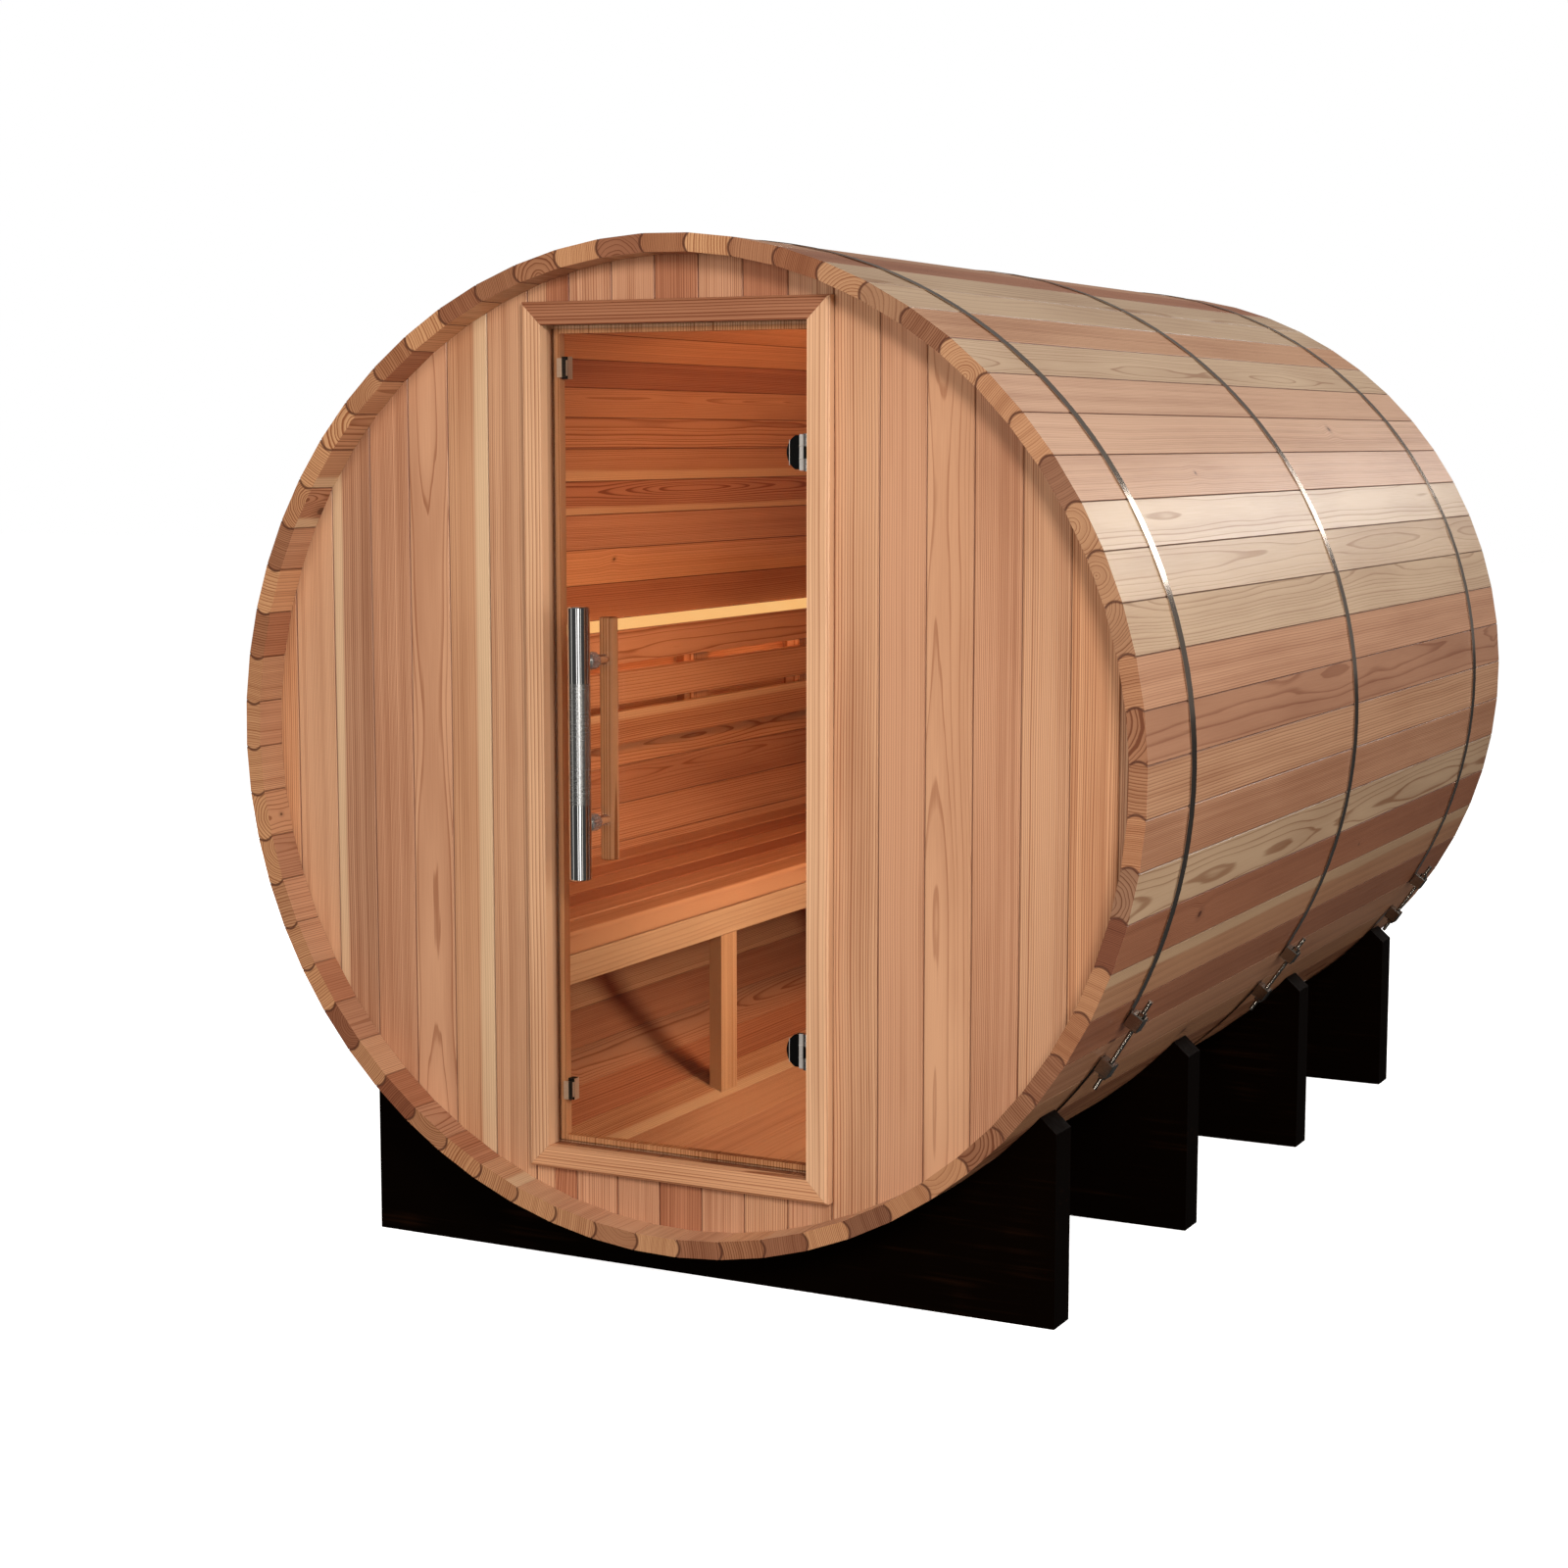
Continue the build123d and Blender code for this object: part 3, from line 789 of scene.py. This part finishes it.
def paintGlass(look):
    finish = Finish("bronzeGlass", {"Roughness": look["edgeRoughness"], "IOR": look["ior"]})
    _, normalY, _ = finish.facing()
    film = finish.grit(finish.place(), look["filmPace"], look["filmDetail"])
    pane = finish.add("BsdfTransparent", None, {"Color": screen(*look["tint"])})
    mirror = finish.add("BsdfGlossy", None, {"Color": (1.0, 1.0, 1.0, 1.0), "Roughness": look["sheen"]})
    gloss = finish.add("Fresnel", None, {"IOR": look["ior"]}) * look["gloss"]
    clear = finish.add("MixShader", None, {0: gloss, 1: pane, 2: mirror})
    finish.show("Base Color", finish.mix(film + 0.5, screen(*look["edge"]), screen(*look["edgePale"])))
    solid = Wire(finish, finish.shader.outputs[0])
    atEdge = abs(normalY) < look["edgeFacing"]
    finish.close("Material", finish.add("MixShader", None, {0: atEdge, 1: clear, 2: solid}))
    paint(finish, "door_glass")


handleLook = {
    "tone": (226, 225, 222),
    "dull": (206, 203, 198),
    "brushedHalf": 0.109,  # the brushed part, to either side of the bar's middle
    "brushedFade": 0.0005,
    "linesPace": (25, 25, 2600),
    "smearPace": (30, 30, 18),
    "brushedDull": 0.55,
    "smearDull": 0.15,
    "leastDull": 0.05,
    "roughness": 0.05,
    "brushedRough": 0.19,
    "linesRough": 0.2,
    "smearRough": 0.04,
    "bump": 0.2,
    "relief": 0.0002,
}
# plain metals: two tones that run into each other, and how rough they are
metalLooks = {
    "chrome": {"metallic": 1.0, "tone": (226, 225, 222), "dull": (190, 188, 184), "pace": (60, 60, 60),
               "roughness": 0.25, "roughSpread": 0.08},
    "blackMetal": {"metallic": 0.6, "tone": (12, 12, 13), "dull": (24, 23, 22), "pace": (800, 800, 800),
                   "roughness": 0.22, "roughSpread": 0.2},
    "stapleSteel": {"metallic": 0.8, "tone": (40, 32, 28), "dull": (92, 60, 42), "pace": (300, 300, 300),
                    "roughness": 0.5, "roughSpread": 0.3},
    "collarSteel": {"metallic": 0.9, "tone": (228, 226, 222), "dull": (188, 184, 178), "pace": (90, 90, 90),
                    "roughness": 0.18, "roughSpread": 0.08},
    "hingeSteel": {"metallic": 0.5, "tone": (236, 232, 227), "dull": (206, 200, 193), "pace": (90, 90, 90),
                   "roughness": 0.30, "roughSpread": 0.12},
}
blackRelief = {"bump": 0.2, "relief": 0.0002}


def plainMetal(name):
    look = metalLooks[name]
    finish = Finish(name, {"Metallic": look["metallic"]})
    grit = finish.grit(finish.place(), look["pace"])
    finish.show("Base Color", finish.mix(grit + 0.5, screen(*look["tone"]), screen(*look["dull"])))
    finish.show("Roughness", look["roughness"] + grit * look["roughSpread"])
    return finish, grit


def paintHandle(look):
    low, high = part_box("door_handle_bar")
    finish = Finish("handleSteel", {"Metallic": 1.0})
    place = finish.place()
    fromMiddle = abs(place[2] - (low.z + high.z) / 2)
    half, fade = look["brushedHalf"], look["brushedFade"]
    brushed = 1 - fromMiddle.ease(half - fade, half + fade)
    lines = finish.grit(place, look["linesPace"])
    smear = finish.grit(place, look["smearPace"])
    dull = brushed * look["brushedDull"] + smear * look["smearDull"] + look["leastDull"]
    rough = brushed * (look["brushedRough"] + lines * look["linesRough"])
    finish.show("Base Color", finish.mix(dull, screen(*look["tone"]), screen(*look["dull"])))
    finish.show("Roughness", look["roughness"] + rough + smear * look["smearRough"])
    finish.relief(lines * brushed, look["bump"], look["relief"])
    paint(finish, "door_handle_bar")


catchLook = {
    "tone": (226, 216, 206),
    "dull": (196, 184, 172),
    "metallic": 0.45,
    "pace": (40, 40, 1800),
    "roughness": 0.42,
    "roughSpread": 0.15,
    "rubber": (14, 13, 13),
    "rubberWidth": 0.0075,
    "rubberFade": 0.0003,
    "knurlPace": 2400,
    "knurl": 0.02,
    "knurlMean": 0.97,
    "cheekFacing": (0.4, 0.7),
}


def satinSteel(name, look):
    finish = Finish(name, {"Metallic": look["metallic"]})
    lines = finish.grit(finish.place(), look["pace"])
    tone = finish.mix(lines + 0.5, screen(*look["tone"]), screen(*look["dull"]))
    finish.show("Roughness", lines * look["roughSpread"] + look["roughness"])
    return finish, tone


def paintCatches(look):
    # a dark roller shows along one edge of each plate
    finish, tone = satinSteel("strikeSteel", look)
    x, _, z = finish.place()
    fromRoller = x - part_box("door_strikes")[1].x + look["rubberWidth"]
    roller = fromRoller.ease(-look["rubberFade"], look["rubberFade"])
    knurl = z.sum("SINE", z * look["knurlPace"]) * look["knurl"] + look["knurlMean"]
    finish.show("Base Color", finish.mix(roller * knurl, tone, screen(*look["rubber"])))
    paint(finish, "door_strikes")

    # the keeper has a steel cheek on the side towards the doorway
    finish, tone = satinSteel("keeperSteel", look)
    cheek, _, _ = finish.facing()
    finish.show("Base Color", finish.mix(cheek.ease(*look["cheekFacing"]), screen(*look["rubber"]), tone))
    paint(finish, "door_catches")


def paintHinges(look):
    finish, _ = plainMetal("chrome")
    paint(finish, "door_handle_posts", "hinge_lower_jamb_leaf", "hinge_upper_jamb_leaf")
    finish, grit = plainMetal("blackMetal")
    finish.relief(grit, look["bump"], look["relief"])
    paint(finish, "hinge_lower_door_leaf", "hinge_upper_door_leaf")


paintGlass(glassLook)
paintHandle(handleLook)
paintCatches(catchLook)
paintHinges(blackRelief)

# light strip

stripLook = {
    "glow": (255, 212, 169),
    "warmer": (255, 204, 152),
    "strength": 20.0,
    "roughness": 0.5,
    "dotsPace": (0, 60, 0),
}


def paintStrip(look):
    fixed = {"Emission Strength": look["strength"], "Roughness": look["roughness"]}
    finish = Finish("lightDiffuser", fixed)
    dots = finish.grit(finish.place(), look["dotsPace"])
    warm = finish.mix(dots + 0.5, screen(*look["glow"]), screen(*look["warmer"]))
    finish.show("Base Color", warm)
    finish.show("Emission Color", warm)
    paint(finish, "light_strip")


paintStrip(stripLook)
print("door and light strip finished")

# small pieces

barBevel = 0.25  # of a bar's width


def makePiece(name, bm, finish, body):
    mesh = bpy.data.meshes.new(name)
    bm.to_mesh(mesh)
    bm.free()
    piece = bpy.data.objects.new(name, mesh)
    bpy.context.scene.collection.objects.link(piece)
    mesh.materials.append(finish.material)
    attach(piece, body)


def addBar(bm, place, length, width, height):
    # a low bar with bevelled edges
    shape = place @ Matrix.Diagonal((length, width, height, 1.0))
    made = bmesh.ops.create_cube(bm, size=1.0, matrix=shape)
    edges = {edge for vert in made["verts"] for edge in vert.link_edges}
    bmesh.ops.bevel(bm, geom=list(edges), offset=width * barBevel, segments=1, affect="EDGES")


stapleLook = {
    "every": 2,  # staves
    "inset": 0.036,
    "length": 0.009,
    "width": 0.0014,
    "proud": 0.0002,
    "depth": 0.002,
    "sideways": 0.012,
    "lean": 0.5,
    "uneven": 0.006,
    "seed": 5,
}


def makeStaples(look):
    chance = random.Random(look["seed"])
    finish, _ = plainMetal("stapleSteel")
    bm = bmesh.new()
    apothem = barrelRadius * math.cos(stavePitch / 2)
    sunk = apothem + look["proud"] - look["depth"] / 2
    for number in range(0, barrel["staves"], look["every"]):
        turn = barrel["firstJoint"] + (number + 0.5) * stavePitch
        for end, inward in ((frontEnd, 1), (rearEnd, -1)):
            shift = chance.uniform(-look["sideways"], look["sideways"])
            lean = chance.uniform(-look["lean"], look["lean"])
            y = end + inward * (look["inset"] + chance.uniform(-look["uneven"], look["uneven"]))
            spin = Matrix.Translation((0, y, axisHeight)) @ Matrix.Rotation(math.pi / 2 - turn, 4, "Y")
            place = spin @ Matrix.Translation((shift, 0, sunk)) @ Matrix.Rotation(lean, 4, "Z")
            addBar(bm, place, look["length"], look["width"], look["depth"])
    makePiece("staveStaples", bm, finish, "cabin")


makeStaples(stapleLook)

# painted light: a glowing sheet in place of the band of wall lit by the strip
paintedGlowLook = {
    "glow": (255, 214, 150),
    "shade": (252, 198, 128),
    "base": (70, 50, 32),
    "strength": 1.0,
    "roughness": 0.45,
    "unevenPace": (0, 5, 0),
    "lift": 0.006,  # over the strip
    "joint": 30,  # it ends at this stave joint, counted round from the right
    "offWall": 0.004,
    "bulge": 0.002,
    "thickness": 0.0025,
    "steps": 8,
}


def makePaintedGlow(look):
    # a sheet that glows above the backrest, from its top slat to the wall: painted light that stands in for
    # the band the light strip lights there; it also keeps the strip's light off the wall above
    finish = Finish("paintedStripGlow", {"Emission Strength": look["strength"], "Roughness": look["roughness"]})
    uneven = finish.grit(finish.place(), look["unevenPace"]) + 0.5
    finish.show("Emission Color", finish.mix(uneven, screen(*look["glow"]), screen(*look["shade"])))
    finish.show("Base Color", screen(*look["base"]))
    low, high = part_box("light_strip")
    radius = barrelRadius - barrel["staveThickness"] - look["offWall"]
    turn = barrel["firstJoint"] + look["joint"] * stavePitch
    slatEdge = Vector((high.x, high.z + look["lift"]))
    wallEdge = Vector((radius * math.cos(turn), axisHeight + radius * math.sin(turn)))
    upward = (wallEdge - slatEdge).orthogonal().normalized()
    upward *= math.copysign(1.0, upward.y)
    shares = [step / look["steps"] for step in range(look["steps"] + 1)]
    crown = [slatEdge.lerp(wallEdge, s) + upward * look["bulge"] * math.sin(math.pi * s) for s in shares]
    outline = crown + [point - upward * look["thickness"] for point in reversed(crown)]
    bm = bmesh.new()
    near, far = ([bm.verts.new((p.x, end, p.y)) for p in outline] for end in (low.y, high.y))
    count = len(outline)
    for first in range(count):
        after = (first + 1) % count
        bm.faces.new((near[first], near[after], far[after], far[first]))
    bm.faces.new(near)
    bm.faces.new(far)
    bmesh.ops.recalc_face_normals(bm, faces=bm.faces)
    makePiece("paintedStripGlow", bm, finish, "cabin")


makePaintedGlow(paintedGlowLook)

collarLook = {
    "radius": 0.0165,
    "bore": 0.0092,
    "length": 0.027,
    "bevel": 0.0030,
    "bevelDrop": 0.4,  # how far the ends draw in, against the bevel's length
    "flutes": 16,
    "fluteDepth": 0.0019,
    "stepsPerFlute": 6,
}


def makeCollars(look):
    # fluted collars on the handle posts, between the glass and the bar
    finish, _ = plainMetal("collarSteel")
    low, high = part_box("door_handle_posts")
    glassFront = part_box("door_glass")[0].y
    flange = (high.x - low.x) / 2
    full, bevel, flutes = look["length"], look["bevel"], look["flutes"]
    drawnIn = bevel * look["bevelDrop"]
    outer = ((0.0, drawnIn), (bevel, 0.0), (full - bevel, 0.0), (full, drawnIn))
    around = flutes * look["stepsPerFlute"]
    angles = [2 * math.pi * step / around for step in range(around)]
    waves = [look["fluteDepth"] * (0.5 - 0.5 * math.cos(angle * flutes)) for angle in angles]
    rows = [(out, [look["radius"] - drop - wave for wave in waves]) for out, drop in outer]
    rows += [(out, [look["bore"]] * around) for out in (full, 0.0)]
    bm = bmesh.new()
    for height in (low.z + flange, high.z - flange):
        middle = Vector(((low.x + high.x) / 2, glassFront, height))
        rings = []
        for out, reaches in rows:
            ring = []
            for reach, angle in zip(reaches, angles):
                offset = Vector((reach * math.cos(angle), -out, reach * math.sin(angle)))
                ring.append(bm.verts.new(middle + offset))
            rings.append(ring)
        for first, second in zip(rings, rings[1:] + rings[:1]):
            for step in range(around):
                after = (step + 1) % around
                bm.faces.new((first[step], first[after], second[after], second[step]))
    bmesh.ops.recalc_face_normals(bm, faces=bm.faces)
    makePiece("postCollars", bm, finish, "door")


makeCollars(collarLook)

hingeTrimLook = {
    "plateThickness": 0.004,
    # each strip's distance from the plate's round side, and its size
    "edgeStrip": {"at": 0.0056, "width": 0.0011, "height": 0.044, "rise": 0.0008},
    "knuckle": {"at": 0.0294, "width": 0.0084, "height": 0.062, "rise": 0.0026},
    "rib": {"at": 0.0294, "width": 0.0092, "height": 0.0024, "rise": 0.0036},
    "ribLifts": (-0.011, 0.011),
}


def makeHingeTrims(look):
    # the steel strips on each hinge plate
    finish, _ = plainMetal("hingeSteel")
    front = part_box("door_glass")[0].y - look["plateThickness"]
    upright = Matrix.Rotation(-math.pi / 2, 4, "Y")
    strips = [(look["edgeStrip"], 0.0), (look["knuckle"], 0.0)]
    strips += [(look["rib"], lift) for lift in look["ribLifts"]]
    bm = bmesh.new()
    for name in ("hinge_lower_door_leaf", "hinge_upper_door_leaf"):
        low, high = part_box(name)
        middle = (low.z + high.z) / 2
        for strip, lift in strips:
            spot = (low.x + strip["at"], front - strip["rise"] / 2, middle + lift)
            addBar(bm, Matrix.Translation(spot) @ upright, strip["height"], strip["rise"], strip["width"])
    makePiece("hingeTrims", bm, finish, "door")


makeHingeTrims(hingeTrimLook)
print("staples, lens, collars and hinge trims made")

# floor, light and camera

studio = {
    "floor": (238, 237, 235),
    "floorGlow": 0.84,  # keeps the far floor as white as the backdrop
    "floorBounce": (120, 101, 82),
    "floorSheen": 0.05,  # what polished metal shows of the floor
    "floorSize": 60.0,
    "floorCells": 4,
    "backdrop": (1.0, 1.0, 1.0, 1.0),
    "ambient": (0.96, 0.93, 0.90, 1.0),
    "ambientStrength": 0.22,
    "ambientSheen": 0.18,
    "lampSpread": 180,
    "lamps": {
        "key": {
            "at": (3.35, -5.15, 3.1), "to": (0.1, -1.0, 0.9), "size": (1.2, 1.2),
            "power": 189, "tone": (1.0, 0.96, 0.92),
        },
        "fill": {
            "at": (-1.0, -5.8, 1.9), "to": (0.0, -1.1, 0.9), "size": (2.4, 2.0),
            "power": 111, "tone": (1.0, 0.97, 0.94),
        },
        "over": {
            "at": (3.0, 1.4, 4.3), "to": (0.6, 0.1, 1.2), "size": (2.2, 2.2),
            "power": 89, "tone": (0.97, 0.98, 1.0),
        },
        "side": {
            "at": (4.8, -2.8, 1.7), "to": (0.3, -0.9, 0.95), "size": (1.6, 1.6),
            "power": 58, "tone": (1.0, 0.97, 0.93),
        },
        "rear": {
            "at": (2.05, 4.2, 2.62), "to": (0.8, -0.8, 1.3), "size": (0.8, 0.8),
            "power": 16, "tone": (1.0, 1.0, 1.0),
        },
        "back": {
            "at": (-3.4, 4.6, 3.2), "to": (0.0, 0.6, 0.9), "size": (2.4, 2.4),
            "power": 190, "tone": (1.0, 0.98, 0.96),
        },
        "cabin": {
            "at": (0.38, -0.15, 1.5), "to": (-0.6, 0.2, 0.9), "size": (0.35, 0.35),
            "power": 8.6, "tone": (1.0, 0.53, 0.27),
        },
        "porch": {
            "at": (0.6, -0.4, 0.8), "to": (-0.33, -0.2, 0.4), "size": (0.3, 0.3),
            "power": 5.4, "tone": (1.0, 0.9, 0.76), "spread": 150,
        },
        "cardMiddle": {
            "at": (1.19, -3.64, 0.75), "to": (-0.18, -1.2, 0.9), "size": (0.5, 1.4),
            "power": 6.5, "tone": (1.0, 1.0, 1.0),
        },
        "cardThin": {
            "at": (0.18, -3.98, 0.75), "to": (-0.18, -1.2, 0.9), "size": (0.25, 1.4),
            "power": 2.4, "tone": (1.0, 1.0, 1.0),
        },
        "cardRight": {
            "at": (2.01, -2.95, 0.75), "to": (-0.18, -1.2, 0.9), "size": (0.22, 1.4),
            "power": 1.0, "tone": (1.0, 0.96, 0.9),
        },
        "cardLeft": {
            "at": (-2.28, -3.05, 0.75), "to": (-0.18, -1.2, 0.9), "size": (0.4, 1.4),
            "power": 1.2, "tone": (1.0, 0.96, 0.9),
        },
    },
    "unmirrored": ("fill", "side", "back", "cabin", "porch"),  # lamps that glass and steel don't show
    "mirrorOnly": ("cardMiddle", "cardThin", "cardRight", "cardLeft"),  # light stripes in the steel
    "eye": (2.4127, -5.4526, 1.5168),
    "tilt": (83.015, 0.0, 27.127),
    "lens": 64.289,
    "sensor": 36.0,
}


def byRay(tree, lighting, mirrored, seen):
    # the stage shows one face to soft light, one to polished metal and one to the camera
    path = tree.add("LightPath", None, None, "Is Camera Ray")
    unseen = tree.add("MixShader", None, {0: path.other("Is Glossy Ray"), 1: lighting, 2: mirrored})
    return tree.add("MixShader", None, {0: path, 1: unseen, 2: seen})


def makeStudio(look):
    scene = bpy.context.scene
    scene.view_settings.view_transform = "Standard"
    bm = bmesh.new()
    cells = look["floorCells"]
    bmesh.ops.create_grid(bm, x_segments=cells, y_segments=cells, size=look["floorSize"] / 2)
    mesh = bpy.data.meshes.new("floor")
    bm.to_mesh(mesh)
    bm.free()
    floor = bpy.data.objects.new("floor", mesh)
    scene.collection.objects.link(floor)
    finish = Finish("paleFloor")
    pale = finish.add("BsdfDiffuse", None, {"Color": screen(*look["floor"])})
    glow = finish.add("Emission", None, {"Strength": look["floorGlow"]})
    lifted = finish.add("AddShader", None, {0: pale, 1: glow})
    bounce = finish.add("BsdfDiffuse", None, {"Color": screen(*look["floorBounce"])})
    sheen = finish.add("Emission", None, {"Strength": look["floorSheen"]})
    finish.close("Material", byRay(finish, bounce, sheen, lifted))
    mesh.materials.append(finish.material)

    world = bpy.data.worlds.new("studio")
    world.use_nodes = True
    scene.world = world
    sky = Nodes(world.node_tree)
    seen = sky.add("Background", None, {"Color": look["backdrop"]})
    lit = sky.add("Background", None, {"Color": look["ambient"], "Strength": look["ambientStrength"]})
    sheen = sky.add("Background", None, {"Color": look["ambient"], "Strength": look["ambientSheen"]})
    sky.close("World", byRay(sky, lit, sheen, seen))

    for name, lamp in look["lamps"].items():
        data = bpy.data.lights.new(name, "AREA")
        data.shape = "RECTANGLE"
        data.size, data.size_y = lamp["size"]
        data.energy = lamp["power"]
        data.spread = math.radians(lamp.get("spread", look["lampSpread"]))
        data.color = lamp["tone"]
        light = bpy.data.objects.new(name, data)
        light.visible_camera = False
        light.visible_glossy = name not in look["unmirrored"]
        light.visible_diffuse = name not in look["mirrorOnly"]
        light.location = lamp["at"]
        aim = Vector(lamp["to"]) - Vector(lamp["at"])
        light.rotation_euler = aim.to_track_quat("-Z", "Y").to_euler()
        scene.collection.objects.link(light)

    lens = bpy.data.cameras.new("camera")
    lens.lens = look["lens"]
    lens.sensor_width = look["sensor"]
    camera = bpy.data.objects.new("camera", lens)
    camera.location = look["eye"]
    camera.rotation_euler = [math.radians(angle) for angle in look["tilt"]]
    scene.collection.objects.link(camera)
    scene.camera = camera


makeStudio(studio)
print("floor, light and camera set")
